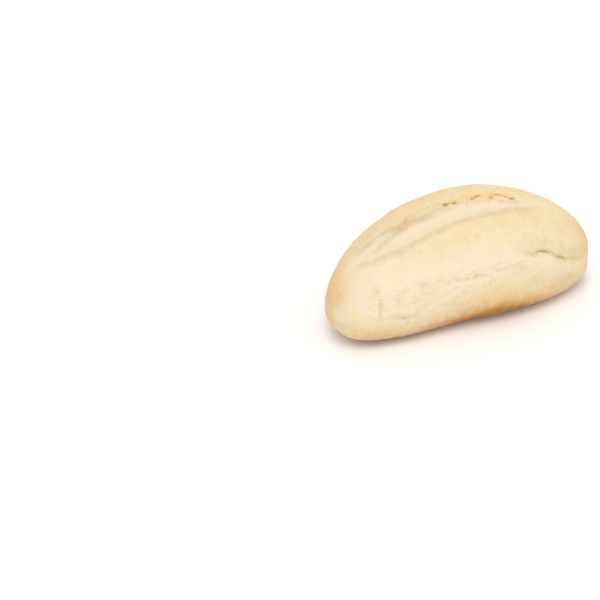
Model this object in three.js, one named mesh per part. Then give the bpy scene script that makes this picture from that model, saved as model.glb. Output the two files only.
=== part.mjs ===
// Bolillo: a spindle-shaped white bread roll with one lengthwise slash that opened in the oven.
// It is a single solid. Everything is in millimetres: +X runs along the roll, -Y is its front
// side, +Z is up, and z = 0 is the flat base that lay on the baking tray. The origin is on the
// base, in the middle of the roll's length and width.
//
// The crust is described slice by slice. Each slice stands across the roll at a station x, and a
// crust point in it is given by its turn, an angle in degrees round a core line that runs through
// the roll: 0 at the crest, positive down the front side, negative down the back, 180 underneath.
// A feature that runs along the roll, such as a lip of the slash, is a line of [x, turn] pairs.

import * as THREE from "three";
import { mergeVertices } from "three/addons/utils/BufferGeometryUtils.js";

// ---- The plain loaf ----
const HALF_LENGTH = 75;
const FRONT_HALF_WIDTH = 35.8;
const BACK_HALF_WIDTH = 38.1;
const HEIGHT = 58.5;
const CORE_HEIGHT = 15.2; // height of the core line, where the loaf is widest
const TAPER = 0.22; // how much fuller the +X end is than the middle, and how much slimmer the -X end
const SWEEP = -5.9; // how far the ends lean to the front of the middle
const BASE_CUT = 1.03; // the underside's own curve goes this much deeper than the tray
const TUCK = { x: -8, length: 34, turn: 105, reach: 25, depth: 2.1 }; // the front side's foot

// Superellipse exponents: 2 is an ellipse, more is squarer. Left is the -X half.
const FRONT_PLAN = { left: 3.0, right: 1.9 };
const BACK_PLAN = { left: 2.4, right: 2.05 };
const CREST_LINE = { left: 1.95, right: 1.97 };
const BASE_PLAN = { left: 3.8, right: 4.6 };
const UPPER_SECTION = 2.24;
const LOWER_SECTION = 3.35;

// ---- The slash: a steep near wall, a rounded floor and a torn far lip ----
const SLASH = { left: -67, leftFull: -52, rightFull: 24, right: 49, depth: 2.9, floorCrown: 0.55 };
const NEAR_LIP = [
  [SLASH.left, 4.5],
  [-61, 10],
  [-54, 19.7],
  [-45, 23.5],
  [-36, 25],
  [-18, 23.6],
  [0, 22.8],
  [27, 22.2],
  [38, 20.3],
  [SLASH.right, 17],
];
const FAR_LIP = [
  [SLASH.left, 3.5],
  [-55, 3.2],
  [-47, 0.6],
  [-41, -1.2],
  [-36, -0.8],
  [-30, 2.6],
  [-16, 5.2],
  [-2, 6],
  [18, 7.9],
  [28, 12.6],
  [40, 12],
  [SLASH.right, 16],
];
const NEAR_EDGE = { wall: 1.7, rise: 0.6, back: 2.0, spread: 2.2 };
const FAR_EDGE = { wall: 1.5, rise: 0.7, back: 1.6, spread: 1.7, ragged: 0.7, crag: 0.5 };

// ---- The tear in the front side, towards +X: a narrow mouth under a brow of crust ----
const TEAR = { left: 12, leftFull: 29, rightFull: 46, right: 70, depth: 3, spread: 1.1, ragged: 0.5 };
const TEAR_LINE = [
  [8, 53.5],
  [15, 53.5],
  [21, 57],
  [26.5, 59.8],
  [31.5, 59],
  [37.5, 61],
  [42, 65.7],
  [47, 70.1],
  [54.5, 75.3],
  [64.5, 81.8],
  [70, 84],
];
const BROW = { rise: 0.8, above: 3.0, spread: 2.2 };
const SWELL = { rise: 1.3, below: 6.5, spread: 4.6 };

// ---- Creases, each along a line ----
const CREASES = [
  // the fold inside the slash's far side, at its -X end
  { line: [[-61, 8.6], [-52, 6.4], [-42, 4.6], [-34, 2.4]], depth: 1.3, spread: 1.2, fade: 5 },
  // the crease below the tear
  { line: [[-20, 63], [-10, 63.2], [-3, 65], [8, 64.4], [21, 68]], depth: 0.9, spread: 1.7, fade: 9 },
  // the soft step where the front side turns under
  { line: [[-51, 83], [-42, 89], [-36, 87], [-30, 80], [-17, 73]], depth: 0.6, spread: 2.2, fade: 9 },
  // the back side, where the roll was shaped by hand
  { line: [[-38, -62], [-12, -67], [14, -63], [40, -71]], depth: 0.8, spread: 2.4, fade: 14 },
];

// ---- Hollows, each round a point ----
const HOLLOWS = [
  // torn gaps along the slash's far lip
  { x: -31.5, turn: 1.6, depth: 0.8, spread: 1.6 },
  { x: -7.5, turn: 5, depth: 1.3, spread: 2.4 },
  { x: 3.5, turn: 4.4, depth: 1.2, spread: 1.9 },
  { x: 11.5, turn: 5, depth: 0.8, spread: 1.6 },
  { x: 21.5, turn: 3.8, depth: 1.4, spread: 2 },
  { x: 26, turn: 8, depth: 1.3, spread: 1.8 },
  // pressed places in the front side
  { x: -58, turn: 51, depth: 0.7, spread: 3.4 },
  { x: -48, turn: 66, depth: 0.6, spread: 3.2 },
  { x: -34, turn: 60, depth: 0.5, spread: 3.6 },
  { x: -57, turn: 71, depth: 0.7, spread: 2 },
  { x: -0.5, turn: 37, depth: 0.4, spread: 2.4 },
  { x: 40, turn: 97, depth: 0.7, spread: 2.8 },
  // pressed places in the back side
  { x: -22, turn: -48, depth: 0.6, spread: 4.5 },
  { x: 31, turn: -40, depth: 0.5, spread: 4.0 },
  { x: 55, turn: -78, depth: 0.6, spread: 3.6 },
];
const LUMPS = { height: 0.28, length: 14 };
const RAGGEDNESS = 0.42; // how quickly a torn edge wavers, in waves of about 15 mm and shorter

// Relief fades out where the roll narrows to its two tips, and where it meets the base.
const TIP_FADE = { features: 6, swellings: 9 };
const BASE_FADE = { low: 0.5, high: 7 };

// ---- Mesh ----
const STATIONS = 100; // slices along the roll
const END_CROWDING = 0.5; // how much closer the slices stand near the two ends
const NARROWEST_SLASH = 6; // degrees that the mesh keeps between its two lip lines

const DEGREE = Math.PI / 180;
const smooth = THREE.MathUtils.smoothstep; // smooth(value, low, high)
const lerp = THREE.MathUtils.lerp;
const bell = (value, centre, spread) => Math.exp(-(((value - centre) / spread) ** 2));
const half = (pair, x) => (x < 0 ? pair.left : pair.right);
const total = (numbers) => numbers.reduce((sum, number) => sum + number, 0);

// 1 between low and high, fading to 0 over the given length inside each.
function between(value, low, high, fade) {
  return smooth(value, low, low + fade) * (1 - smooth(value, high - fade, high));
}

// 1 where a slash or tear is fully open, fading to 0 at its tips.
function opening(x, cut) {
  return smooth(x, cut.left, cut.leftFull) * (1 - smooth(x, cut.rightFull, cut.right));
}

// An uneven wave between -1 and 1, for edges that tore and dough that swelled.
function uneven(value, phase) {
  return (
    0.5 * Math.sin(value + phase) +
    0.3 * Math.sin(2.3 * value + 1.7 * phase) +
    0.2 * Math.sin(4.1 * value + 2.9 * phase)
  );
}

// A smooth curve through a line's [x, turn] pairs, level beyond its two ends.
function curveOf(line) {
  const stations = line.map(([x]) => x);
  const turns = line.map(([, turn]) => turn);
  const curve = new THREE.CubicInterpolant(stations, turns, 1);
  return (x) => curve.evaluate(x)[0];
}

const nearLip = curveOf(NEAR_LIP);
const farLip = curveOf(FAR_LIP);
const tearLine = curveOf(TEAR_LINE);
const creases = CREASES.map((crease) => ({ ...crease, turnAt: curveOf(crease.line) }));

function coreY(x) {
  return SWEEP * ((x / HALF_LENGTH) ** 2 - 0.4);
}

// 1 in the middle of the roll and 0 at its ends, along a superellipse.
function endCurve(x, exponents) {
  const n = half(exponents, x);
  const share = Math.min(Math.abs(x / HALF_LENGTH), 1);
  return Math.max(1 - share ** n, 0) ** (1 / n);
}

// Distance from the core line to the plain loaf's surface.
function plainRadius(x, turn) {
  const inFront = turn > 0;
  const plan = inFront ? FRONT_PLAN : BACK_PLAN;
  const halfWidth = inFront ? FRONT_HALF_WIDTH : BACK_HALF_WIDTH;
  const width = halfWidth * endCurve(x, plan) * (1 + (TAPER * x) / HALF_LENGTH);
  const crest = (HEIGHT - CORE_HEIGHT) * endCurve(x, CREST_LINE);
  const keel = BASE_CUT * CORE_HEIGHT * endCurve(x, BASE_PLAN);
  const sideways = Math.abs(Math.sin(turn * DEGREE));
  const upward = Math.cos(turn * DEGREE);
  const rise = upward >= 0 ? crest : keel;
  const m = upward >= 0 ? UPPER_SECTION : LOWER_SECTION;
  if (Math.min(width, rise) < 1e-6) return 0;
  return ((sideways / width) ** m + (Math.abs(upward) / rise) ** m) ** (-1 / m);
}

// In the reliefs below, arc is the length in mm of one degree of turn on the crust there.

function slashRelief(x, turn, arc) {
  const ragged = FAR_EDGE.ragged * uneven(RAGGEDNESS * x, 0.6);
  const fromNear = (nearLip(x) - turn) * arc; // both are positive inside the slash
  const fromFar = (turn - farLip(x)) * arc + ragged;
  const across = fromNear / Math.max(fromNear + fromFar, 1);
  const walls = smooth(fromNear, 0, NEAR_EDGE.wall) * smooth(fromFar, 0, FAR_EDGE.wall);
  const floor = SLASH.depth * (1 - SLASH.floorCrown * bell(across, 0.55, 0.28));
  const nearRim = NEAR_EDGE.rise * bell(-fromNear, NEAR_EDGE.back, NEAR_EDGE.spread);
  const farRise = FAR_EDGE.rise + FAR_EDGE.crag * uneven(RAGGEDNESS * x, 2.1);
  const farRim = farRise * bell(-fromFar, FAR_EDGE.back, FAR_EDGE.spread);
  return opening(x, SLASH) * (nearRim + farRim - walls * floor);
}

function tearRelief(x, turn, arc) {
  const below = (turn - tearLine(x)) * arc + TEAR.ragged * uneven(RAGGEDNESS * x, 1.1);
  const mouth = TEAR.depth * bell(below, 0, TEAR.spread);
  const brow = BROW.rise * bell(below, -BROW.above, BROW.spread);
  const swell = SWELL.rise * bell(below, SWELL.below, SWELL.spread);
  return opening(x, TEAR) * (brow + swell - mouth);
}

function creaseRelief(x, turn, arc) {
  const depths = creases.map(({ line, turnAt, depth, spread, fade }) => {
    const share = between(x, line[0][0], line.at(-1)[0], fade);
    return share * depth * bell((turn - turnAt(x)) * arc, 0, spread);
  });
  return -total(depths);
}

function hollowRelief(x, turn, arc) {
  const depths = HOLLOWS.map((hollow) => {
    const distance = Math.hypot(x - hollow.x, (turn - hollow.turn) * arc);
    return hollow.depth * bell(distance, 0, hollow.spread);
  });
  return -total(depths);
}

// Low swellings of the whole crust.
function lumpRelief(x, turn) {
  const along = x / LUMPS.length;
  const round = turn * DEGREE;
  const wide = uneven(along + 1.2 * Math.cos(round), 0.9);
  const short = uneven(1.4 * along - 2 * Math.sin(round), 2.4);
  return LUMPS.height * (wide + short);
}

// A point of the finished crust.
function crustPoint(x, turn) {
  const plain = plainRadius(x, turn);
  const arc = plain * DEGREE;
  const features =
    slashRelief(x, turn, arc) +
    tearRelief(x, turn, arc) +
    creaseRelief(x, turn, arc) +
    hollowRelief(x, turn, arc);
  const tuck = TUCK.depth * bell(turn, TUCK.turn, TUCK.reach) * bell(x, TUCK.x, TUCK.length);
  const height = CORE_HEIGHT + plain * Math.cos(turn * DEGREE);
  const offBase = smooth(height, BASE_FADE.low, BASE_FADE.high);
  const relief =
    features * offBase * smooth(plain, 0, TIP_FADE.features) +
    (lumpRelief(x, turn) * offBase - tuck) * smooth(plain, 0, TIP_FADE.swellings);
  const radius = plain + relief;
  const y = coreY(x) - radius * Math.sin(turn * DEGREE);
  const z = CORE_HEIGHT + radius * Math.cos(turn * DEGREE);
  return new THREE.Vector3(x, y, Math.max(z, 0));
}

// The turns of one slice's points, from the middle of the base up the back and down the front.
// They stand closest at the slash and the tear, and follow both along the roll.
function sliceTurns(x) {
  const near = nearLip(x);
  const far = Math.min(farLip(x), near - NARROWEST_SLASH);
  const tear = lerp(62, tearLine(x), smooth(x, 0, 14));
  const stretches = [
    { to: -130, steps: 2 },
    { to: -88, steps: 5 },
    { to: far - 9, steps: 9 },
    { to: far, steps: 4 },
    { to: near, steps: 10 },
    { to: near + 9, steps: 4 },
    { to: tear - 8, steps: 4 },
    { to: tear + 8, steps: 10 },
    { to: 95, steps: 4 },
    { to: 130, steps: 5 },
    { to: 180, steps: 2 },
  ];
  const turns = [-180];
  for (const { to, steps } of stretches) {
    const from = turns.at(-1);
    for (let i = 1; i <= steps; i += 1) turns.push(lerp(from, to, i / steps));
  }
  return turns;
}

function stationX(share) {
  const t = 2 * share - 1;
  return HALF_LENGTH * (END_CROWDING * Math.sin((Math.PI / 2) * t) + (1 - END_CROWDING) * t);
}

// A sphere whose rows become the slices: row 0 is the +X tip and the last row the -X tip.
function rollGeometry() {
  const ringPoints = sliceTurns(0).length - 1;
  const sphere = new THREE.SphereGeometry(1, ringPoints, STATIONS);
  const position = sphere.getAttribute("position");
  for (let row = 0; row <= STATIONS; row += 1) {
    const x = stationX(1 - row / STATIONS);
    const turns = sliceTurns(x);
    for (let column = 0; column <= ringPoints; column += 1) {
      const point = crustPoint(x, turns[column % ringPoints]);
      position.setXYZ(row * (ringPoints + 1) + column, point.x, point.y, point.z);
    }
  }
  sphere.deleteAttribute("normal");
  sphere.deleteAttribute("uv");
  const closed = mergeVertices(sphere, 1e-4);
  closed.computeBoundingBox();
  const middle = closed.boundingBox.getCenter(new THREE.Vector3());
  closed.translate(-middle.x, -middle.y, 0);
  closed.computeVertexNormals();
  return closed;
}

const crust = new THREE.MeshStandardMaterial({ color: 0xf4dcb0, roughness: 0.82, metalness: 0 });

const roll = new THREE.Mesh(rollGeometry(), crust);
roll.name = "roll";

const bolillo = new THREE.Group();
bolillo.add(roll);

export default bolillo;
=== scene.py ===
# %% [markdown]
# # A bolillo roll
# A bolillo is a white bread roll, thick in the middle and narrow at its ends, with one long slash
# in its top that opens in the oven. The imported roll from CAD gives its size and place, so it is
# loaded first. Its box is kept, because the finished roll has to stay that big. Its box is kept
# and printed.

import math

import bpy
import numpy as np
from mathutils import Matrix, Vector, noise


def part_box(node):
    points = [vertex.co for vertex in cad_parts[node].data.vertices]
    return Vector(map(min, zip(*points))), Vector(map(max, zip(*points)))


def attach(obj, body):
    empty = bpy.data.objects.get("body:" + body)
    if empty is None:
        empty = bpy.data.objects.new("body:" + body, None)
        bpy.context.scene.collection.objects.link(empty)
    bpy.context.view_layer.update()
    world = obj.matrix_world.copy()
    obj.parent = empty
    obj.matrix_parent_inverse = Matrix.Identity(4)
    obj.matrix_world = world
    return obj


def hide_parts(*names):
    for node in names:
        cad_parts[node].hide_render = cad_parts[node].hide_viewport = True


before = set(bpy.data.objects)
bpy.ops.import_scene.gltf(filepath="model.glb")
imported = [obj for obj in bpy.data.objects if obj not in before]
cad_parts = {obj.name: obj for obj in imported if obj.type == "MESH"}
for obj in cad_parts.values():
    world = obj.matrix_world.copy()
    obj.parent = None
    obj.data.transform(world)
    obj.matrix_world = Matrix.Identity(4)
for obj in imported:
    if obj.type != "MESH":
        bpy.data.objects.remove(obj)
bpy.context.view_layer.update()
roll_low, roll_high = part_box("roll")
print("packed nodes:", sorted(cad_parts))
print("box in mm:", [round(1000 * side, 1) for side in roll_high - roll_low])

# %% [markdown]
# ## A way to describe the crust
# The roll has no straight edge to extrude and no part that repeats, so it is shaped the way a
# baker sees it, slice by slice. A slice stands across the roll at a station x, in millimetres. A
# crust point in it has a turn, in degrees round a core line: 0 is the crest, positive runs down
# the front, negative down the back, and 180 is underneath. These small curves do the rounding.
# Each of them takes whole arrays, so all the crust is worked out at once.

# %% Small curves
MM = 0.001
DEGREE = math.pi / 180


def smooth(value, low, high):
    """0 below low, 1 above high, and an eased step between."""
    share = np.clip((value - low) / (high - low), 0, 1)
    return share * share * (3 - 2 * share)


def bell(value, centre, spread):
    """1 at the centre, fading to nothing on both sides."""
    return np.exp(-(((value - centre) / spread) ** 2))


def between(value, low, high, fade):
    """1 between low and high, fading to 0 inside each end."""
    return smooth(value, low, low + fade) * (1 - smooth(value, high - fade, high))


def uneven(value, phase):
    """A slow wave between -1 and 1 that never quite repeats."""
    return (
        0.5 * np.sin(value + phase)
        + 0.3 * np.sin(2.3 * value + 1.7 * phase)
        + 0.2 * np.sin(4.1 * value + 2.9 * phase)
    )


def curve_of(line):
    """A smooth curve through [x, turn] pairs, level beyond its two ends."""
    xs, ys = np.array(line, float).T
    chords = np.diff(ys) / np.diff(xs)
    slopes = np.concatenate(([chords[0]], (chords[:-1] + chords[1:]) / 2, [chords[-1]]))

    def at(x):
        x = np.clip(x, xs[0], xs[-1])
        i = np.clip(np.searchsorted(xs, x, side="right") - 1, 0, len(xs) - 2)
        gap = xs[i + 1] - xs[i]
        p = (x - xs[i]) / gap
        start = (1 + 2 * p) * (1 - p) ** 2 * ys[i] + p * (1 - p) ** 2 * gap * slopes[i]
        return start + p * p * (3 - 2 * p) * ys[i + 1] + p * p * (p - 1) * gap * slopes[i + 1]

    return at


print("halfway up an eased step:", smooth(0.5, 0, 1))

# %% [markdown]
# ## The plain loaf
# Before the slash and the tear, the roll is a plump spindle with a flat base where it lay on the
# tray. Seen from above it is fuller at one end, and both ends lean a little to the front. Each
# outline is a superellipse: an exponent of 2 is an ellipse, and more is squarer. That needs few
# numbers, and they are the same as the CAD roll's.

# %% The plain loaf in numbers
HALF_LENGTH = 75.0
FRONT_HALF_WIDTH = 35.8
BACK_HALF_WIDTH = 38.1
HEIGHT = 58.5
CORE_HEIGHT = 15.2  # where the loaf is widest
TAPER = 0.22  # how much wider it grows towards +X and narrower towards -X, as a share
SWEEP = -5.9  # how far in front of the middle both ends lie
SET_BACK = 0.4  # the share of that by which the middle stands back
BASE_CUT = 1.03  # the keel's depth against the core's height, so that its last 3% is cut flat
FRONT_PLAN = (3.0, 1.9)  # exponents for the -X half and the +X half
BACK_PLAN = (2.4, 2.05)
CREST_LINE = (1.95, 1.97)
BASE_PLAN = (3.8, 4.6)
UPPER_SECTION = 2.24
LOWER_SECTION = 3.35
TINY = 1e-9  # keeps the tips, which have no width, out of a division by zero


def end_curve(x, exponents):
    """1 in the middle of the roll and 0 at its ends."""
    n = np.where(x < 0, exponents[0], exponents[1])
    return np.maximum(1 - np.minimum(np.abs(x / HALF_LENGTH), 1) ** n, 0) ** (1 / n)


def core_y(x):
    """Where the core line runs, from front to back."""
    return SWEEP * ((x / HALF_LENGTH) ** 2 - SET_BACK)


def plain_radius(x, turn):
    """Distance from the core line to the plain loaf's surface."""
    front = FRONT_HALF_WIDTH * end_curve(x, FRONT_PLAN)
    back = BACK_HALF_WIDTH * end_curve(x, BACK_PLAN)
    width = np.where(turn > 0, front, back) * (1 + TAPER * x / HALF_LENGTH)
    crest = (HEIGHT - CORE_HEIGHT) * end_curve(x, CREST_LINE)
    keel = BASE_CUT * CORE_HEIGHT * end_curve(x, BASE_PLAN)
    upward = np.cos(turn * DEGREE)
    rise = np.where(upward >= 0, crest, keel)
    m = np.where(upward >= 0, UPPER_SECTION, LOWER_SECTION)
    wide = (np.abs(np.sin(turn * DEGREE)) / np.maximum(width, TINY)) ** m
    tall = (np.abs(upward) / np.maximum(rise, TINY)) ** m
    return np.where(np.minimum(width, rise) < TINY, 0, (wide + tall) ** (-1 / m))


print("crest above the core line:", round(float(plain_radius(0.0, 0.0)), 1), "mm")

# %% [markdown]
# ## Where the cuts run
# The slash opened between two lips, and the front side tore once more in the oven, towards the
# fuller end. Each of these is a line along the crust. They come before the mesh, because the
# mesh's own rows of points should follow them: an edge that crosses its mesh gets saw teeth.
# Their depths come later, where each cut is shaped.

# %% The lines of the slash and the tear
SLASH = {"left": -67, "left_full": -52, "right_full": 24, "right": 49}
near_lip = curve_of([[-67, 4.5], [-61, 10], [-54, 19.7], [-45, 23.5], [-36, 25], [-18, 23.6],
                     [0, 22.8], [27, 22.2], [38, 20.3], [49, 17]])
far_lip = curve_of([[-67, -1], [-61, -4], [-54, -4.4], [-47, -3], [-41, -1.8], [-36, -0.8],
                    [-30, 2.6], [-16, 5.2], [-2, 6], [18, 7.9], [28, 12.6], [40, 12], [49, 16]])
# a fold in the floor, close to the far lip
fold_line = curve_of([[-67, 3], [-58, 7.4], [-50, 6.6], [-42, 3.8], [-34, 1.3], [-30, 1.3],
                      [-16, 3.4], [-2, 5], [18, 7.4], [28, 12.2], [40, 12], [49, 16]])

TEAR = {"left": 12, "left_full": 27, "right_full": 56, "right": 72}
tear_line = curve_of([[8, 53.5], [15, 53.5], [21, 57], [26.5, 59.2], [31.5, 58.6], [37.5, 60.2],
                      [42, 65.7], [47, 70.1], [54.5, 75.3], [64.5, 81.8], [70, 84]])


def opening(x, cut):
    """1 where a cut is fully open, fading to 0 at its tips."""
    closing = smooth(x, cut["right_full"], cut["right"])
    return smooth(x, cut["left"], cut["left_full"]) * (1 - closing)


print("slash width in the middle:", round(float(near_lip(0.0) - far_lip(0.0)), 1), "degrees")

# %% [markdown]
# ## The mesh, from a sphere
# A UV sphere is a good start for a roll: its rings become the slices and its two poles the tips.
# The slash and the tear need closer columns than the rest, so the columns are counted out in
# stretches first. The sphere is added and turned in edit mode so that its poles lie along X. A
# row and a column are then read from each point's place on it.

# %% Where the columns of points stand
ROWS = 318  # slices along the roll
NARROWEST_SLASH = 6  # degrees, kept between its lips where they meet
LIP_MARGIN = 9  # degrees of closer columns outside each lip
TEAR_MARGIN = 8  # and on each side of the tear
TEAR_START = 62  # the turn that the tear's columns keep where there is no tear
TEAR_REACHED = (0, 14)  # x over which they turn from there to the tear


def far_at(x):
    """The far lip, kept clear of the near one."""
    return np.minimum(far_lip(x), near_lip(x) - NARROWEST_SLASH)


def tear_at(x):
    """The tear, and where its columns run on past it."""
    return TEAR_START + (tear_line(x) - TEAR_START) * smooth(x, *TEAR_REACHED)


STRETCHES = [  # (turn where a stretch of columns ends, columns in it)
    (lambda x: -130, 10),
    (lambda x: -92, 26),
    (lambda x: far_at(x) - LIP_MARGIN, 98),
    (far_at, 22),
    (near_lip, 38),
    (lambda x: near_lip(x) + LIP_MARGIN, 14),
    (lambda x: tear_at(x) - TEAR_MARGIN, 24),
    (lambda x: tear_at(x) + TEAR_MARGIN, 34),
    (lambda x: 95, 22),
    (lambda x: 130, 16),
    (lambda x: 180, 8),
]
COLUMNS = sum(columns for _, columns in STRETCHES)
print("columns in a slice:", COLUMNS)

# %% Add a sphere and lay it along the roll
bpy.ops.object.select_all(action="DESELECT")
bpy.ops.mesh.primitive_uv_sphere_add(segments=COLUMNS, ring_count=ROWS, radius=1)
roll = bpy.context.active_object
roll.name = roll.data.name = "bolillo_crust"
bpy.ops.object.mode_set(mode="EDIT")
bpy.ops.mesh.select_all(action="SELECT")
bpy.ops.transform.rotate(value=math.pi / 2, orient_axis="Y", center_override=(0, 0, 0))
bpy.ops.object.mode_set(mode="OBJECT")

points = np.array([v.co for v in roll.data.vertices])
row = np.rint(np.arccos(np.clip(points[:, 0], -1, 1)) / math.pi * ROWS).astype(int)
round_share = np.arctan2(-points[:, 1], points[:, 2]) / (2 * math.pi) + 0.5
column = np.rint(round_share * COLUMNS).astype(int) % COLUMNS
print("points:", len(points), "triangles:", 2 * COLUMNS * (ROWS - 1))

# %% [markdown]
# ## Rows and columns where they are needed
# The slices stand at equal steps along the crust's own length, not along X, so that the blunt
# ends stay round. In a slice the columns crowd at the slash and at the tear.

# %% Give every point its station and turn
FINE_STEPS = 20000  # short steps that measure the crust's length

fine = HALF_LENGTH * np.sin(np.linspace(-math.pi / 2, math.pi / 2, FINE_STEPS + 1))
profile = (plain_radius(fine, 0.0) + plain_radius(fine, 90.0) + plain_radius(fine, -90.0)) / 3
walked = np.concatenate(([0], np.cumsum(np.hypot(np.diff(fine), np.diff(profile)))))
stations = np.interp(np.linspace(walked[-1], 0, ROWS + 1), walked, fine)
stations[[0, -1]] = HALF_LENGTH, -HALF_LENGTH

turn_table = [np.full(ROWS + 1, -180.0)]
for end, columns in STRETCHES:
    start, goal = turn_table[-1], end(stations) * np.ones(ROWS + 1)
    turn_table += [start + (goal - start) * step / columns for step in range(1, columns + 1)]
turn_table = np.array(turn_table).T

x = stations[row]
turn = turn_table[row, column]
plain = plain_radius(x, turn)
arc = plain * DEGREE  # millimetres of crust in one degree of turn
height = CORE_HEIGHT + plain * np.cos(turn * DEGREE)
print("mean step along the roll:", round(walked[-1] / ROWS, 2), "mm")

# %% [markdown]
# ## Fine noise for torn dough
# Torn edges and small holes need a noise that is the same on every run. Blender's own Perlin
# noise is read at points laid out on the crust, in millimetres along it and across it.

# %% Noise on the crust
SEED_STEP = 7.31  # how far apart two seeds read the noise
NOISE_GAIN = 1.4  # Perlin noise on its own seldom comes near 1

plain_places = np.column_stack((x, core_y(x) - plain * np.sin(turn * DEGREE), height))


def grain(size, seed, stretch=1.0):
    """Noise between -1 and 1 in lumps of about size millimetres, longer along X by stretch."""
    scaled = plain_places / (size * stretch, size, size) + seed * SEED_STEP
    return NOISE_GAIN * np.array([noise.noise(Vector(place)) for place in scaled])


ragged_noise = grain(3.2, 1)
print("noise runs from", round(ragged_noise.min(), 2), "to", round(ragged_noise.max(), 2))

# %% [markdown]
# ## The slash
# The near lip is a clean edge that lifted a little, and its wall is steep. The floor swelled up
# again, so its middle is rounded, with long faint ripples where the dough stretched. Towards the
# fuller end it stays high right up to the far lip, and at the slim end a narrow shelf lies
# between that lip and the floor's fold. The far lip tore: its edge wavers, and small holes opened
# along it. Both walls lean in, so the points at the lips also slip round the roll, which a change
# of radius alone can't do.

# %% Measure the crust across the slash
WAVER = 0.42  # how quickly a torn edge wavers along the roll, in radians per millimetre
RAGGED = {"waver": 0.7, "torn": 0.35, "torn_from": (-34, -20)}  # the far lip, x where it tore

slash_open = opening(x, SLASH)
ragged = RAGGED["waver"] * uneven(WAVER * x, 0.6)
ragged += RAGGED["torn"] * ragged_noise * smooth(x, *RAGGED["torn_from"])
from_near = (near_lip(x) - turn) * arc
from_far = (turn - far_lip(x)) * arc + ragged
from_fold = (turn - fold_line(x)) * arc + ragged
across = np.clip(from_near / np.maximum(from_near + from_fold, 1), 0, 1)
in_slash = (from_near > 0) & (from_far > 0) & (slash_open > 0.99)
print("widest slash:", round(float((from_near + from_far)[in_slash].max()), 1), "mm")

# %% Shape the slash
SLASH_DEPTH = 2.9
CROWN = {"gain": 0.55, "middle": 0.55, "spread": 0.28}  # shares of the depth and of the width
HIGH_SIDE = {"across": (0.3, 0.6), "from": (-30, -8)}  # where the floor stays high to the far lip
SHELF = {"depth": 0.95, "edge": (-0.9, 1.3), "from": (28, 34)}  # the last is towards -X
TIP_LEVEL = (49, 53)  # towards -X, where all the floor rises to the shelf's level
NEAR_EDGE = {"wall": 1.5, "rise": 0.55, "back": 2.6, "spread": 2.4, "lean": 0.45}
FAR_EDGE = {"wall": 1.1, "rise": 0.7, "crag": 0.5, "back": 1.6, "spread": 1.7, "lean": 0.5}
LEAN = {"inside": 0.1, "spread": 0.8}  # where the walls lean in, just inside each lip
RIPPLES = {"size": 2.6, "stretch": 7, "height": 0.16}

walls = smooth(from_near, 0, NEAR_EDGE["wall"]) * smooth(from_far, 0, FAR_EDGE["wall"])
high_side = smooth(across, *HIGH_SIDE["across"]) * smooth(x, *HIGH_SIDE["from"])
crown = np.maximum(bell(across, CROWN["middle"], CROWN["spread"]), high_side)
shelf = smooth(-from_fold, *SHELF["edge"]) * smooth(-x, *SHELF["from"])
shelf = np.maximum(shelf, smooth(-x, *TIP_LEVEL))
floor_depth = SLASH_DEPTH * (1 - CROWN["gain"] * crown) * (1 - shelf) + SHELF["depth"] * shelf

near_rim = NEAR_EDGE["rise"] * bell(-from_near, NEAR_EDGE["back"], NEAR_EDGE["spread"])
far_rise = FAR_EDGE["rise"] + FAR_EDGE["crag"] * uneven(WAVER * x, 2.1)
far_rim = far_rise * bell(-from_far, FAR_EDGE["back"], FAR_EDGE["spread"])
ripples = RIPPLES["height"] * grain(RIPPLES["size"], 2, stretch=RIPPLES["stretch"]) * walls
slash_relief = slash_open * (near_rim + far_rim + ripples - walls * floor_depth)
far_lean = FAR_EDGE["lean"] * bell(from_far, LEAN["inside"], LEAN["spread"])
near_lean = NEAR_EDGE["lean"] * bell(from_near, LEAN["inside"], LEAN["spread"])
slash_slip = slash_open * (far_lean - near_lean)
print("deepest slash point:", round(slash_relief.min(), 2), "mm")

# %% Tear small holes along the far lip
TORN_MARKS = [  # x, turn, half length, half width and depth
    (-29.5, 2.0, 1.5, 0.7, 0.45), (-7, 4.6, 1.7, 0.9, 1.0), (-2.8, 5.6, 1.5, 0.7, 0.75),
    (4.6, 2.5, 3.0, 0.8, 0.4), (8.7, 5.6, 1.3, 0.8, 0.7), (11.9, 4.2, 1.8, 1.1, 1.0),
    (14.3, 2.4, 1.2, 0.7, 0.5), (18.5, 7.2, 1.4, 0.8, 0.6), (23.8, 3.2, 2.4, 0.8, 1.0),
    (27.2, 5.6, 1.3, 0.8, 0.8), (28.2, 8.0, 1.1, 0.9, 0.7), (29.4, 10.4, 1.5, 0.8, 1.0),
]
TORN_BAND = {"left": -20, "right": 34, "fade": 8, "from_lip": -0.8, "spread": 2.2}
HOLE_EDGE = (0.3, 1.4)  # from a hole's floor to its rim, as shares of its size
TOAST_EDGE = (0.7, 1.8)  # the same for the toasted crust round it
TORN_REACH = 2.4  # and for the crust that sank a little with it
HOLE_DEPTH = 1.1
TORN_DROP = 0.15
FLAKE_RISE = 0.4
PIT_SHARE = 0.4  # the small pits between the holes, against a hole

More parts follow.
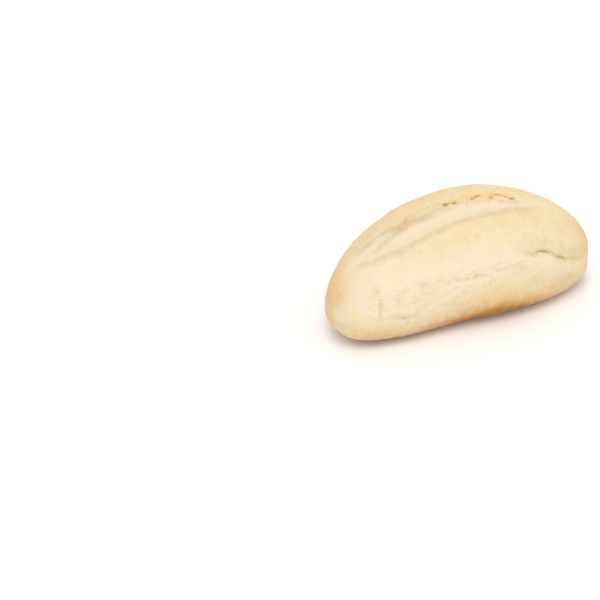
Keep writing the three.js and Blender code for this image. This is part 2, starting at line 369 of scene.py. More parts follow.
frayed = 0.4 * grain(1.8, 3, stretch=1.3) + 0.45 * grain(0.9, 4)
torn_band = bell(from_far, TORN_BAND["from_lip"], TORN_BAND["spread"])
torn_band *= between(x, TORN_BAND["left"], TORN_BAND["right"], TORN_BAND["fade"])
holes = PIT_SHARE * torn_band * smooth(grain(1.0, 8, stretch=1.5), 0.3, 0.6)
toasted_edges = 0.6 * holes
torn = 0.25 * torn_band
for place_x, place_turn, length, width, depth in TORN_MARKS:
    reach = np.hypot((x - place_x) / length, (turn - place_turn) * arc / width)
    holes = np.maximum(holes, depth * (1 - smooth(reach + frayed, *HOLE_EDGE)))
    toasted_edges = np.maximum(toasted_edges, depth * (1 - smooth(reach + frayed, *TOAST_EDGE)))
    torn = np.maximum(torn, depth * bell(reach, 0, TORN_REACH))
flakes = torn_band * smooth(grain(1.6, 5, stretch=2.2), 0.05, 0.5)
torn_relief = FLAKE_RISE * flakes - TORN_DROP * torn - HOLE_DEPTH * holes
print("points in torn holes:", int((holes > 0.3).sum()))

# %% [markdown]
# ## The tear in the front side
# The crust split in a thin line under a brow, and the dough below swelled. The line is a shallow
# groove, with two narrow dark mouths where it gapes. The brow hangs over them, so here too the
# points slip round the roll.

# %% Shape the tear
MOUTHS = ((34.2, 4.6, 1.0), (44.8, 2.8, 0.7))  # x, reach and share where it gapes
MOUTH = {"depth": 1.15, "spread": 0.75}
GROOVE = {"rise": 1.3, "below": 0.3, "spread": 1.4}  # taken off, where the others are added
BROW = {"rise": 0.8, "below": -3.0, "spread": 2.2}
SWELL = {"rise": 1.3, "below": 6.5, "spread": 4.6}
TORN_LIP = {"rise": 0.3, "below": 1.4, "spread": 1.6}
BROW_LEAN = {"rise": 0.45, "below": -0.7, "spread": 1.0}
LIP_LEAN = {"rise": 0.3, "below": 0.4, "spread": 0.8}

tear_open = opening(x, TEAR)
below = (turn - tear_line(x)) * arc + 0.5 * uneven(WAVER * x, 1.1) + 0.25 * ragged_noise
gaping = sum(share * bell(x + ragged_noise, at, reach) for at, reach, share in MOUTHS)
crumbs = grain(1.2, 7)


def along_tear(form):
    """A form that follows the tear, at its own distance below it."""
    return form["rise"] * bell(below, form["below"], form["spread"])


mouth = MOUTH["depth"] * gaping * bell(below, 0, MOUTH["spread"] * (1 + 0.4 * crumbs))
torn_lip = along_tear(TORN_LIP) * crumbs * (0.3 + gaping)
raised = along_tear(BROW) + along_tear(SWELL) + torn_lip
tear_relief = tear_open * (raised - mouth - along_tear(GROOVE))
tear_slip = tear_open * gaping * (along_tear(BROW_LEAN) - along_tear(LIP_LEAN))
print("deepest tear point:", round(tear_relief.min(), 2), "mm")

# %% [markdown]
# ## Creases, hollows and swellings
# Hands left soft folds and pressed places when they rolled the dough. A crease follows a path
# of points over the crust and a hollow sits round one point. A crease wanders a little, by the
# same noise, so that it isn't a drawn line. The back has its own, with one long fold where the
# dough was rolled up. Broad low lumps cover the whole roll, and its front foot is drawn in.

# %% Fold the back
BACK_OPEN = {"left": -46, "right": 48, "fade": 22}
BACK_FOLD = [(0.65, 2.8, 2.0), (0.6, -5, 4), (-1.3, 0, 0.9)]  # rise, height above the fold, spread
back_line = curve_of([[-38, -62], [-12, -67], [14, -63], [40, -71]])

wander = 0.7 * ragged_noise + 0.4 * grain(1.6, 6)
above_back = (turn - back_line(x)) * arc + wander
back_relief = sum(rise * bell(above_back, at, spread) for rise, at, spread in BACK_FOLD)
back_relief *= between(x, BACK_OPEN["left"], BACK_OPEN["right"], BACK_OPEN["fade"])
print("deepest point of the back's fold:", round(back_relief.min(), 2), "mm")

# %% Press the creases and hollows
CREASES = [  # path of x and turn, depth, spread, and a depth below 0 is a ridge
    ([(-5.6, 65.6), (1, 65.8), (8, 65), (15, 64.8), (21, 63.6)], 0.65, 1.4),  # below the tear
    ([(-11, 62.2), (-7.5, 62.4), (-5.4, 64.6), (-8, 66), (-11, 64.6)], 0.8, 0.8),
    ([(0, 61), (6, 61.6), (12, 60)], 0.4, 0.9), ([(-16.4, 63), (-15.2, 64)], 0.7, 0.7),
    ([(-24, 66), (-18, 63), (-13, 64.5)], 0.5, 0.9),
    ([(2, 71), (10, 72), (18, 74), (24, 73)], 0.35, 1.0),
    ([(-51, 83), (-46, 87), (-38, 88)], 0.8, 1.2),  # step to the base
    ([(-38, 83), (-31, 78), (-24, 73.5), (-17, 71)], 0.35, 1.5),
    ([(-37, 87), (-33, 83.5), (-27, 79), (-19, 75)], -0.3, 1.5),
    ([(-46, 86), (-43, 92), (-44, 96)], 0.6, 0.8),
    ([(-24, 84), (-16, 88), (-8, 86)], 0.35, 1.0),
    ([(-20, 93), (-12, 96), (-4, 93)], 0.35, 0.9),
    ([(-56.6, 60), (-57.2, 70), (-57.5, 80)], 0.95, 0.8),  # a nick across the slim end
    ([(-64.5, 61), (-63, 63), (-62.3, 67)], 0.45, 0.8),
    ([(-61, 83), (-58, 84.5), (-54, 84)], 0.3, 1.0),
    ([(-48, 73), (-44, 74), (-38, 73)], 0.3, 1.0),
    ([(-37, 57), (-34, 60), (-36, 63)], 0.3, 1.5), ([(-31, 62), (-27, 60), (-24, 63)], 0.35, 1.3),
    ([(-35, 66), (-31, 69), (-27, 68)], 0.35, 1.2), ([(-62, 44), (-58, 46), (-57, 49)], 0.45, 0.8),
    ([(43.2, 67.5), (43.6, 71.5)], 0.6, 0.7), ([(24.6, 57.2), (26.4, 60), (29, 60.4)], 0.5, 0.7),
    ([(65, 34), (68, 46), (69, 60), (67, 72)], 0.5, 2.2),  # round the fuller end
    ([(38, 94), (43, 99), (50, 97)], 0.4, 1.0),
    ([(-30, -74), (-22, -77), (-12, -75)], 0.5, 0.9), ([(8, -79), (18, -82), (30, -79)], 0.45, 0.9),
    ([(50, -60), (56, -70), (55, -78)], 0.6, 1.0), ([(-60, -38), (-62, -46), (-61, -57)], 0.5, 1.1),
    ([(16, -36), (24, -40), (30, -38)], 0.3, 1.2), ([(-22, -54), (-16, -57), (-8, -56)], 0.35, 1.0),
    ([(-4, -70), (8, -73), (20, -71)], 0.4, 1.1),
    ([(-52, -70), (-48, -82), (-40, -88), (-28, -84)], 0.6, 1.5),
    ([(28, -88), (38, -84), (50, -88), (56, -96)], 0.5, 1.5),
    ([(48, -30), (50, -42), (49, -52)], 0.4, 1.2),
]
HOLLOWS = [  # x, turn, depth and spread, and a depth below 0 is a swelling
    (-58, 51, 0.6, 2.6), (-61, 54, 0.3, 1.4), (-48, 66, 0.6, 2.8), (-44, 60, 0.35, 1.5),
    (-34, 60, 0.45, 2.8), (-30, 66, 0.4, 1.8), (-26, 60, 0.3, 1.5), (-57, 71, 0.3, 1.8),
    (-0.5, 37, 0.4, 1.6), (16, 33, 0.25, 2.0), (8, 50, 0.2, 2.4), (40, 97, 0.7, 2.4),
    (52, 92, 0.4, 2.2), (26, 82, 0.3, 3.0), (5, 80, 0.35, 2.6), (-12, 76, 0.3, 2.4),
    (50, 45, 0.3, 3.0), (-22, -48, 0.6, 4.5), (31, -40, 0.5, 4), (55, -78, 0.6, 3.6),
    (6, -52, 0.3, 2.0), (-44, -40, 0.35, 2.4), (18, -84, 0.4, 2.2), (18, -21, -0.45, 11),
    (-10, -24, 0.45, 12), (-66, -44, 0.6, 6),
]


def distance_to(path):
    """How far every crust point is from a path, in millimetres over the crust."""
    nearest = np.full(len(x), np.inf)
    for (x1, turn1), (x2, turn2) in zip(path, path[1:]):
        along, round_it = x2 - x1, (turn2 - turn1) * arc
        share = (x - x1) * along + (turn - turn1) * arc * round_it
        share = np.clip(share / (along**2 + round_it**2 + TINY), 0, 1)
        nearest = np.minimum(nearest, np.hypot(x - x1 - share * along,
                                               (turn - turn1) * arc - share * round_it))
    return nearest


pressed = np.zeros(len(x))
for path, depth, spread in CREASES:
    pressed += depth * (0.8 + 0.35 * ragged_noise) * bell(distance_to(path) + wander, 0, spread)
for place_x, place_turn, depth, spread in HOLLOWS:
    pressed += depth * bell(np.hypot(x - place_x, (turn - place_turn) * arc), 0, spread)
print("deepest press:", round(pressed.max(), 2), "mm")

# %% Raise the broad lumps and draw in the foot
LUMPS = {"height": 0.28, "length": 14}
TUCK = {"depth": 1.8, "turn": 105, "reach": 25, "x": -8, "length": 34}

along_lumps, round_turn = x / LUMPS["length"], turn * DEGREE
wide_lumps = uneven(along_lumps + 1.2 * np.cos(round_turn), 0.9)
short_lumps = uneven(1.4 * along_lumps - 2 * np.sin(round_turn), 2.4)
lumps = LUMPS["height"] * (wide_lumps + short_lumps)
tuck = TUCK["depth"] * bell(turn, TUCK["turn"], TUCK["reach"]) * bell(x, TUCK["x"], TUCK["length"])
print("highest lump:", round(lumps.max(), 2), "mm")

# %% [markdown]
# ## Moving the points
# All the relief is added to the plain radius, faded where the roll rests on the tray and at its
# tips. The base is cut flat at z = 0. Each blunt tip bulges a little in its middle and is drawn
# in at its rim, and the fuller end hangs over its foot. The points are then set in metres.

# %% Move the points to the crust
TRAY_FADE = (0.5, 7)  # heights over which the relief comes in above the tray
FEATURE_FADE = 6  # the radius at which the cuts and creases are all there, past a tip
LUMP_FADE = 9  # and the lumps
LEAST_ARC = 0.2  # keeps the slip small at the tips
TIP = {"bulge": 0.4, "reach": 7, "rim": 13, "rim_spread": 6, "from": (66, 73)}
OVERHANG = {"lean": 0.6, "from": (60, 74), "level": 14, "softness": 9}  # lean each way

above_tray = smooth(height, *TRAY_FADE)
features = slash_relief + torn_relief + tear_relief + back_relief - pressed
relief = features * above_tray * smooth(plain, 0, FEATURE_FADE)
relief += (lumps * above_tray - tuck) * smooth(plain, 0, LUMP_FADE)
radius = plain + relief
slip = tear_slip + slash_slip
placed_turn = (turn + slip * above_tray / np.maximum(arc, LEAST_ARC)) * DEGREE

bulge = bell(plain, 0, TIP["reach"]) - bell(plain, TIP["rim"], TIP["rim_spread"])
rounding = TIP["bulge"] * bulge * smooth(np.abs(x), *TIP["from"])
upper = np.tanh((height - OVERHANG["level"]) / OVERHANG["softness"])
lean = OVERHANG["lean"] * smooth(x, *OVERHANG["from"]) * upper
crust = MM * np.column_stack((
    x + np.sign(x) * rounding + lean,
    core_y(x) - radius * np.sin(placed_turn),
    np.maximum(CORE_HEIGHT + radius * np.cos(placed_turn), 0),
))
crust[:, :2] -= (crust.min(0)[:2] + crust.max(0)[:2]) / 2
roll.data.vertices.foreach_set("co", crust.astype(np.float32).ravel())
roll.data.update()
print("crust box in mm:", np.round((crust.max(0) - crust.min(0)) / MM, 2))

# %% [markdown]
# ## Fine swellings with modifiers
# The oven raises low blisters all over the crust, and the slash floor stays crumbly. A Displace
# modifier with a cloud texture moves points along their normals, and a vertex group says where.
# Fine wrinkles stay where hands held the dough: on the front of the slim half and on the back.

# %% Raise the fine swellings
WEIGHT_STEPS = 16


def group_of(name, weights):
    """A vertex group whose weights run from 0 to 1, in sixteenths."""
    group = roll.vertex_groups.new(name=name)
    for step in range(1, WEIGHT_STEPS + 1):
        chosen = np.flatnonzero(np.rint(weights * WEIGHT_STEPS) == step)
        group.add(chosen.tolist(), step / WEIGHT_STEPS, "REPLACE")
    return group.name


def raise_clouds(group, size, strength):
    """Raises lumps of about size millimetres, strength millimetres high, where a group says."""
    clouds = bpy.data.textures.new(group, "CLOUDS")
    clouds.noise_scale = size * MM
    clouds.noise_depth = 2
    displace = roll.modifiers.new(group, "DISPLACE")
    displace.texture = clouds
    displace.texture_coords = "LOCAL"
    displace.vertex_group = group
    displace.strength = strength * MM
    bpy.ops.object.modifier_apply(modifier=displace.name)


floor_share = slash_open * walls
slim_front = bell(turn, 68, 18) * smooth(-x, -40, 10)
handled = np.clip(slim_front + bell(turn, -75, 24), 0, 1)
SWELLINGS = [  # vertex group, its weights, size and strength
    ("blisters", above_tray * (1 - 0.6 * floor_share), 6.5, 0.65),
    ("skin", above_tray, 2.4, 0.34),
    ("wrinkles", above_tray * handled, 1.9, 0.65),
    ("crumb", above_tray * floor_share, 1.1, 0.3),
]
bpy.context.view_layer.objects.active = roll
bpy.ops.object.shade_smooth()
for name, weights, size, strength in SWELLINGS:
    raise_clouds(group_of(name, weights), size, strength)
print("vertex groups:", [group.name for group in roll.vertex_groups])

# %% [markdown]
# ## Where the crust took colour
# An oven browns a roll unevenly: most at the foot that touched the tray, at the tips and on
# thin shoulders, and least in the slash, which opened late. Flour stays on in soft dull places.
# Each kind of place is a list of soft oval patches. They become masks, which are kept on the mesh
# as attributes, because they follow the crust, and the material reads them. Some of the masks are
# painted shade, in part or whole: at the lips and over the tear, in the creases, the crack and the
# holes, and towards the foot.

# %% List the patches of colour
BROWNED_AND_SHADED = [  # x, turn, half length, half width and strength, in this list and the next three
    # mostly oven browning, but the patches at (58, 66) over the tear's brow and at (46, 90) by the
    # hollows at the foot are painted shade
    (10, 103, 22, 6.5, 1.0), (34, 102, 16, 4, 0.2), (-20, 103, 20, 4.5, 0.35), (6, 87, 20, 8, 0.08),
    (-72, 22, 1.8, 6, 0.24), (-60, 104, 12, 4, 0.35), (-72, -30, 6, 9, 0.3), (-70, -60, 8, 9, 0.2),
    (-45, -22, 25, 8, 0.12), (36, 82, 16, 6, 0.1), (72, 20, 9, 16, 0.06), (73, 70, 8, 12, 0.12),
    (58, 66, 8, 5, 0.15), (46, 90, 7, 3, 0.15), (22, 68, 9, 2, 0.15), (10, -103, 34, 5.5, 0.5),
    (-40, -102, 20, 5, 0.35), (30, -24, 16, 6, 0.16), (-20, -30, 14, 5, 0.14), (60, -50, 8, 9, 0.2),
    (4, -56, 9, 4, 0.12),
]
SCORCHED = [
    (4, 106, 18, 5.2, 1.0), (9, 99, 9, 3.5, 0.3), (24, 106, 10, 4, 0.25), (-24, 106, 14, 4, 0.2),
    (20, -106, 30, 4, 0.5),
]
GOLDEN = [
    (29, 33, 16, 7, 0.22), (-10, 34, 20, 7, 0.42), (34, 24.5, 11, 3.5, 0.6), (10, -8, 38, 8, 0.4),
    (-32, -10, 24, 7, 0.6), (13, 2, 9, 4, 0.5), (27, 4, 8, 4, 0.5), (62, 34, 14, 14, 0.3),
    (42, 38, 12, 9, 0.12), (51, 69, 6, 2.5, 0.5), (68, 45, 6, 14, 0.45), (64, 48, 5, 10, 0.4),
    (18, 28, 13, 4, 0.25), (-14, 80, 6, 3, 0.5), (-64, 15, 5, 5, 0.35), (6, 88, 24, 7, 0.7),
    (-2, 88, 10, 5, 0.3), (-50, 101, 18, 5, 0.3), (-71.2, 8, 2.0, 4.5, 0.9),
    (-72.3, 30, 1.8, 4, 1.1), (-69, -14, 4, 8, 0.7), (-62, -12, 9, 8, 0.45), (30, -40, 36, 13, 0.6),
    (-30, -45, 24, 12, 0.5), (62, -30, 14, 16, 0.5), (10, -58, 26, 6, 0.4), (-48, -30, 14, 8, 0.4),
    (48, -60, 12, 7, 0.4),
]
FLOURED = [
    (10, 58, 16, 6, 0.7), (-22, 52, 24, 8, 0.45), (30, 78, 20, 7, 0.4), (-45, 60, 18, 12, 0.45),
    (-50, -1.5, 12, 3, 0.35), (-60, 1, 6, 5, 0.6), (-57, 9, 8, 5, 0.35), (40, 68, 14, 2.5, 0.4),
    (0, -70, 40, 12, 0.4), (-58, 40, 8, 9, 0.6), (-22, 74, 12, 8, 0.5), (-4, 69, 15, 4, 0.5),
    (28, 60, 8, 4, 0.5), (-5, 52, 22, 8, 0.35), (-31, 88, 9, 4, 0.5), (-30, -80, 18, 5, 0.5),
    (34, -70, 14, 4, 0.5), (-8, -38, 12, 5, 0.3),
]


def patches(places):
    """The sum of a list's patches, at every crust point."""
    mask = np.zeros(len(x))
    for place_x, place_turn, length, reach, strength in places:
        distance = np.hypot((x - place_x) / length, (turn - place_turn) * arc / reach)
        mask += strength * bell(distance, 0, 1)
    return mask


print("golden patches:", len(GOLDEN), "and their mean:", round(float(patches(GOLDEN).mean()), 3))

# %% Paint the masks
NEAR_TRAY = (0, 7)  # heights over which the tray's browning fades
SIDES = (78, 100)  # turns over which the front and back sides darken towards the foot, partly browning and partly painted shade
FOOT = {"heights": (3, 11), "at_tip": 0.35, "full": (-70, -61)}  # the foot darkens where it curves under, partly scorched and partly painted shade, less at the slim tip
BACK = (20, 50)  # turns down the back, over which the painted shade in the creases fades to half
LIP_SHADE = {"left": -63, "left_full": -56, "right_full": 24, "right": 52}
SHADE = 0.8

near_tray = 1 - smooth(height, *NEAR_TRAY)
foot_scorch_and_shade = 1 - smooth(height, *FOOT["heights"])
foot_scorch_and_shade *= FOOT["at_tip"] + (1 - FOOT["at_tip"]) * smooth(x, *FOOT["full"])

beside_fold = SHADE * slash_open * bell(from_fold, 1.5, 3.6) * bell(x, -29, 20)
at_near_lip = SHADE * opening(x, LIP_SHADE) * bell(from_near, -0.6, 2.3)
under_far_lip = SHADE * slash_open * bell(from_far, 0.4, 1.3) * smooth(-x, 28, 38)
above_tear = SHADE / 2 * tear_open * bell(below, -4, 3.5)

masks = {
    "browned_and_shaded": patches(BROWNED_AND_SHADED) + 0.7 * near_tray + 0.15 * smooth(np.abs(turn), *SIDES),
    "scorched_and_foot_shade": patches(SCORCHED) + 0.4 * foot_scorch_and_shade,
    "golden": patches(GOLDEN) * (1 - floor_share) + 0.9 * torn,
    "floured": patches(FLOURED),
    "slash_floor": slash_open * smooth(from_near, -0.2, 1.0) * smooth(from_far, -0.4, 1.2),
    "torn": 0.5 * (holes + toasted_edges),
    # painted shade in the creases and hollows, half as strong down the back
    "fold": 1.1 * pressed * above_tray * (1 - 0.5 * smooth(-turn, *BACK)),
    # darker along the tear's line and most in its mouths: partly browned crust, partly painted
    # shade under the brow
    "crack": tear_open * bell(below, 0.1, 0.75) * (0.15 + gaping),
    "lip_shade": beside_fold + at_near_lip + under_far_lip + above_tear,
}
for name, mask in masks.items():
    masks[name] = np.clip(mask, 0, 1)
    attribute = roll.data.attributes.new(name, "FLOAT", "POINT")
    attribute.data.foreach_set("value", masks[name].astype(np.float32))
print("masks:", {name: round(float(mask.mean()), 3) for name, mask in masks.items()})

# %% [markdown]
# ## The baked crust
# White-bread crust is matte, pale and faintly mottled. Its colour is mixed in layers, as a
# painter would: a pale ground, gold and brown where the masks say, cream in the slash, toasted
# flecks in the torn holes, and flour over all. Painted shade, alone or mixed into these colours,
# darkens the lips, the tear's brow and crack, the creases, the pits of the holes and the foot.
# Each layer's edge is broken up by noise, so none of them looks drawn. The finest grain is a
# bump, since it is too small for the mesh.

# %% Helpers for shader nodes
def srgb(red, green, blue):
    """A colour given in the usual 0 to 255 steps, as Blender's linear values."""
    shares = np.array([red, green, blue]) / 255
    linear = np.where(shares <= 0.04045, shares / 12.92, ((shares + 0.055) / 1.055) ** 2.4)
    return (*linear.tolist(), 1.0)


def plug(tree, socket, value):
    """Links a node's output to a socket, or sets the socket to a plain value."""
    if isinstance(value, bpy.types.NodeSocket):
        tree.links.new(value, socket)
    else:
        socket.default_value = value


def mix(tree, share, first, second):
    """A colour that goes from the first to the second as share goes from 0 to 1."""
    made = tree.nodes.new("ShaderNodeMix")
    made.data_type = "RGBA"
    for index, value in ((0, share), (6, first), (7, second)):  # the sockets of its colour form
        plug(tree, made.inputs[index], value)
    return made.outputs[2]


def maths(tree, operation, first, second, clamp=False):
    """One step of arithmetic on two values, held between 0 and 1 if clamp says so."""
    made = tree.nodes.new("ShaderNodeMath")
    made.operation, made.use_clamp = operation, clamp
    plug(tree, made.inputs[0], first)
    plug(tree, made.inputs[1], second)
    return made.outputs[0]


def ramp(tree, value, low, high, start=0.0, end=1.0):
    """An eased step of a value from low to high, as start to end."""
    made = tree.nodes.new("ShaderNodeMapRange")
    made.interpolation_type = "SMOOTHSTEP"
    for name, setting in (("Value", value), ("From Min", low), ("From Max", high),
                          ("To Min", start), ("To Max", end)):
        plug(tree, made.inputs[name], setting)
    return made.outputs["Result"]


print("pale crust, linear:", [round(part, 3) for part in srgb(231, 216, 186)])

# %% Helpers for noise on a surface
def speckle(tree, coordinates, size, detail=2.0, output="Fac"):
    """Noise from 0 to 1 in lumps of about size millimetres."""
    made = tree.nodes.new("ShaderNodeTexNoise")
    tree.links.new(coordinates, made.inputs["Vector"])
    made.inputs["Scale"].default_value = 1 / (size * MM)
    made.inputs["Detail"].default_value = detail
    return made.outputs[output]


def spots(tree, coordinates, size, feature):
    """How far a place is from the nearest spot, where spots lie about size millimetres apart."""
    made = tree.nodes.new("ShaderNodeTexVoronoi")
    made.feature = feature
    tree.links.new(coordinates, made.inputs["Vector"])
    made.inputs["Scale"].default_value = 1 / (size * MM)
    return made.outputs["Distance"]


def pushed_about(tree, coordinates, size, reach):
    """The same places, each pushed about by up to reach millimetres, so that a pattern wobbles."""
    made = tree.nodes.new("ShaderNodeVectorMath")
    made.operation = "MULTIPLY_ADD"
    plug(tree, made.inputs[0], speckle(tree, coordinates, size, output="Color"))
    made.inputs[1].default_value = (reach * MM,) * 3
    plug(tree, made.inputs[2], coordinates)
    return made.outputs[0]


def mask_of(tree, name):
    """A mask that was painted on the mesh."""
    made = tree.nodes.new("ShaderNodeAttribute")
    made.attribute_name = name
    return made.outputs["Fac"]


print("a noise in lumps of 4 mm has the scale", round(1 / (4 * MM)))

# %% Start the crust's material
material = bpy.data.materials.new("baked_crust")
material.use_nodes = True
tree = material.node_tree
shader = tree.nodes["Principled BSDF"]
place = tree.nodes.new("ShaderNodeTexCoord").outputs["Object"]

broad = speckle(tree, place, 17, 3)
warmth = speckle(tree, place, 8, 2)
patchy = speckle(tree, place, 4.5, 4)
speckled = speckle(tree, place, 1.3, 4)
sandy = speckle(tree, place, 0.55, 3)
freckles = spots(tree, pushed_about(tree, place, 3.0, 4), 5.5, "SMOOTH_F1")
painted = {name: mask_of(tree, name) for name in masks}
print("masks that the material reads:", len(painted))

# %% Mix the crust's colour
def broken(mask, low, high, least, most=1.0):
    """A mask broken up by the patchy noise, which leaves from least to most of it."""
    return maths(tree, "MULTIPLY", mask, ramp(tree, patchy, low, high, least, most))


gold_share = broken(painted["golden"], 0.3, 0.62, 0.45)
scorch_and_foot_shade_share = broken(painted["scorched_and_foot_shade"], 0.25, 0.6, 0.7)
# this feeds the toasted edges round the holes and their darker centres, which are partly toasted
# crumb and partly painted shade in the pits
toasted = maths(tree, "ADD", painted["torn"], maths(tree, "MULTIPLY", speckled, 0.3))
dust = broken(ramp(tree, speckled, 0.5, 0.72), 0.45, 0.65, 0.1, 0.4)
dust = maths(tree, "MULTIPLY", dust, maths(tree, "SUBTRACT", 1.0, scorch_and_foot_shade_share, True))
freckle_share = maths(tree, "MULTIPLY", ramp(tree, freckles, 0.12, 0.34, 1, 0),
                      ramp(tree, broad, 0.4, 0.65, 0.05, 0.32))

LAYERS = [  # name, how much of it shows, and its colour from 0 to 255, from the ground up
    ("ground in patches", ramp(tree, patchy, 0.42, 0.7, 0, 0.6), (225, 202, 162)),
    ("pinker places", ramp(tree, warmth, 0.52, 0.68, 0, 0.35), (234, 205, 166)),
    ("yellower places", ramp(tree, warmth, 0.48, 0.33, 0, 0.55), (233, 213, 163)),
    ("freckles", freckle_share, (216, 181, 128)),
    ("gold", gold_share, (232, 199, 140)),
    ("flour", broken(painted["floured"], 0.35, 0.6, 0.3), (236, 219, 194)),
    ("cream of the slash", broken(painted["slash_floor"], 0.3, 0.6, 0.75), (231, 215, 187)),
    ("shade at the lips", broken(painted["lip_shade"], 0.3, 0.65, 0.45, 0.9), (210, 184, 145)),
    ("brown and painted shade", broken(painted["browned_and_shaded"], 0.3, 0.62, 0.65), (212, 162, 98)),
    # scorch, with painted shade where the foot curves under
    ("scorch", scorch_and_foot_shade_share, (176, 112, 48)),
    ("painted shade in creases", maths(tree, "MULTIPLY", painted["fold"], 0.55), (212, 184, 150)),
    ("toasted edges", ramp(tree, toasted, 0.2, 0.7), (213, 175, 114)),
    ("toasted holes and painted pit shade", ramp(tree, toasted, 0.6, 1.15), (176, 134, 80)),
    ("crack of the tear, partly painted shade", ramp(tree, painted["crack"], 0.3, 1.0, 0, 0.55), (196, 156, 108)),
    ("flour dust", dust, (240, 229, 208)),
    ("sandy grains", ramp(tree, sandy, 0.5, 0.75, 0, 0.3), (217, 191, 148)),
]
colour = mix(tree, ramp(tree, broad, 0.35, 0.65), srgb(231, 216, 186), srgb(229, 211, 177))
for name, share, tint in LAYERS:
    colour = mix(tree, share, colour, srgb(*tint))
    colour.node.label = name
tree.links.new(colour, shader.inputs["Base Color"])
print("layers over the ground:", len(LAYERS))

# %% Add its roughness and fine grain
MATTE, GOLD_SHEEN = 0.86, 0.66  # the roughness of the pale crust and of the gold
DUST_ROUGHNESS = 0.3  # added where flour dust lies
PORES = {"apart": 2.4, "edge": (0.03, 0.22), "depth": -0.35}
GRAIN_HEIGHT = 0.45  # millimetres
GRAIN_STRENGTH = 0.7

roughness = ramp(tree, gold_share, 0, 1, MATTE, GOLD_SHEEN)
dusty = maths(tree, "MULTIPLY", dust, DUST_ROUGHNESS)
tree.links.new(maths(tree, "ADD", roughness, dusty, True), shader.inputs["Roughness"])
shader.inputs["Specular IOR Level"].default_value = 0.25

pores = spots(tree, place, PORES["apart"], "F1")
grain_relief = ramp(tree, pores, *PORES["edge"], PORES["depth"], 0)
for noise_part, share in ((sandy, 0.5), (speckled, 1.0), (patchy, 0.8)):
    grain_relief = maths(tree, "ADD", maths(tree, "MULTIPLY", noise_part, share), grain_relief)
bump = tree.nodes.new("ShaderNodeBump")
bump.inputs["Strength"].default_value = GRAIN_STRENGTH
bump.inputs["Distance"].default_value = GRAIN_HEIGHT * MM
tree.links.new(grain_relief, bump.inputs["Height"])
tree.links.new(bump.outputs["Normal"], shader.inputs["Normal"])
roll.data.materials.append(material)
print("crust material nodes:", len(tree.nodes))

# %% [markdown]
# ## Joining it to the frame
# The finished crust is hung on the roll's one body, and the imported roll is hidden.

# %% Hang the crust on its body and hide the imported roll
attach(roll, "root")
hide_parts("roll")
print("finished piece:", roll.name, "at", list(roll.location))

# %% [markdown]
# ## Floor, light and camera
# The roll stands on a wide plain floor under soft light. Four large round lamps give soft
# shadows, and the high one is the brightest, so that the crest is pale and the crust darkens
# gently towards its foot. An even light from all round keeps the shadows open.

# %% Lay the floor
FLOOR_RADIUS = 8
FLOOR_DROP = 0.0002  # under the roll's flat base, so that the two faces don't meet

bpy.ops.object.select_all(action="DESELECT")
bpy.ops.mesh.primitive_circle_add(vertices=96, radius=FLOOR_RADIUS, fill_type="NGON",
                                  location=(0, 0, -FLOOR_DROP))
floor = bpy.context.active_object
floor.name = "floor"
paper = bpy.data.materials.new("floor_paper")
paper.use_nodes = True
paper_tree = paper.node_tree
paper_place = paper_tree.nodes.new("ShaderNodeTexCoord").outputs["Object"]
paper_shade = ramp(paper_tree, speckle(paper_tree, paper_place, 300), 0.3, 0.7)
paper_colour = mix(paper_tree, paper_shade, (0.93, 0.93, 0.92, 1), (0.95, 0.95, 0.945, 1))
paper_shader = paper_tree.nodes["Principled BSDF"]
paper_tree.links.new(paper_colour, paper_shader.inputs["Base Color"])
paper_shader.inputs["Roughness"].default_value = 0.9
paper_shader.inputs["Specular IOR Level"].default_value = 0.1
floor.data.materials.append(paper)
print("floor radius:", FLOOR_RADIUS, "m")

# %% Hang the lamps
AIM = Vector((0, 0, 0.03))  # the middle of the roll
LAMP_DISTANCE = 1.7
LAMP_WIDTH = 1.3
LAMPS = [  # name, azimuth, elevation and watts
    ("front_lamp", -46, 27, 5.6),
    ("high_lamp", -25, 65, 8.5),
    ("side_lamp", 55, 35, 4.5),
    ("back_lamp", 165, 40, 5.6),
]
ROOM_LIGHT = 0.69


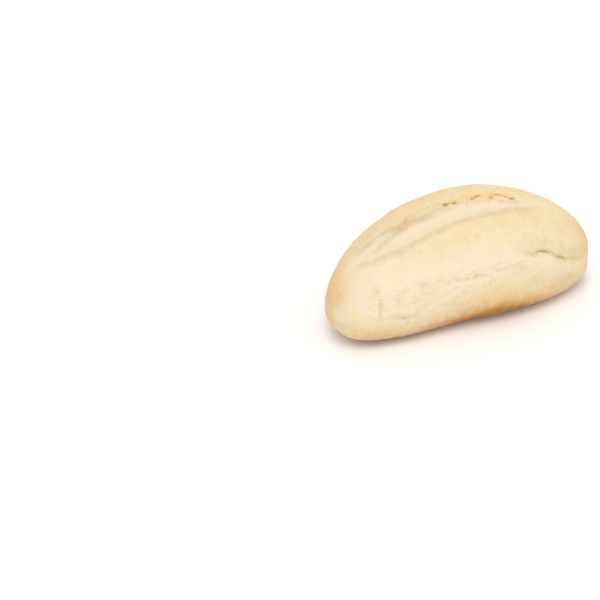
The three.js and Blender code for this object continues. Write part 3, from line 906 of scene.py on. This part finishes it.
def direction(azimuth, elevation):
    """The unit vector from the roll towards a place round it. Azimuth 0 is in front."""
    a, e = math.radians(azimuth), math.radians(elevation)
    return Vector((math.sin(a) * math.cos(e), -math.cos(a) * math.cos(e), math.sin(e)))


for name, azimuth, elevation, watts in LAMPS:
    towards = direction(azimuth, elevation)
    bpy.ops.object.light_add(type="AREA", location=AIM + towards * LAMP_DISTANCE)
    lamp = bpy.context.active_object
    lamp.name = name
    lamp.rotation_euler = towards.to_track_quat("Z", "Y").to_euler()
    lamp.data.shape = "DISK"
    lamp.data.size = LAMP_WIDTH
    lamp.data.energy = watts

world = bpy.data.worlds.new("soft_room")
world.use_nodes = True
room = world.node_tree.nodes["Background"]
room.inputs["Color"].default_value = (1.0, 0.99, 0.98, 1)
room.inputs["Strength"].default_value = ROOM_LIGHT
bpy.context.scene.world = world
bpy.context.scene.view_settings.view_transform = "Standard"
print("lamps in watts:", {name: watts for name, _, _, watts in LAMPS})

# %% Set up the camera
VIEW = {"azimuth": -30, "elevation": 30, "distance": 1.0374, "lens": 118.5}
SENSOR_WIDTH = 36
FRAME_SIDE = 600  # the picture's side in pixels
ROLL_IN_FRAME = (452.4, 297.1)  # where the middle of the base stands in the picture

bpy.ops.object.camera_add()
camera = bpy.context.active_object
camera.name = "camera"
camera.data.lens = VIEW["lens"]
camera.data.sensor_width = SENSOR_WIDTH
camera.data.clip_start, camera.data.clip_end = 0.05, 50
camera.rotation_mode = "QUATERNION"
back = direction(VIEW["azimuth"], VIEW["elevation"])
camera.location = back * VIEW["distance"]

# level looks straight at the roll, and the turn to one side puts the roll at its place
focal_pixels = VIEW["lens"] / SENSOR_WIDTH * FRAME_SIDE
sight = Vector(((ROLL_IN_FRAME[0] - FRAME_SIDE / 2) / focal_pixels,
                (FRAME_SIDE / 2 - ROLL_IN_FRAME[1]) / focal_pixels, -1)).normalized()
level = back.to_track_quat("Z", "Y")
camera.rotation_quaternion = level @ sight.rotation_difference(Vector((0, 0, -1)))
bpy.context.scene.camera = camera
print("camera at", [round(value, 3) for value in camera.location])
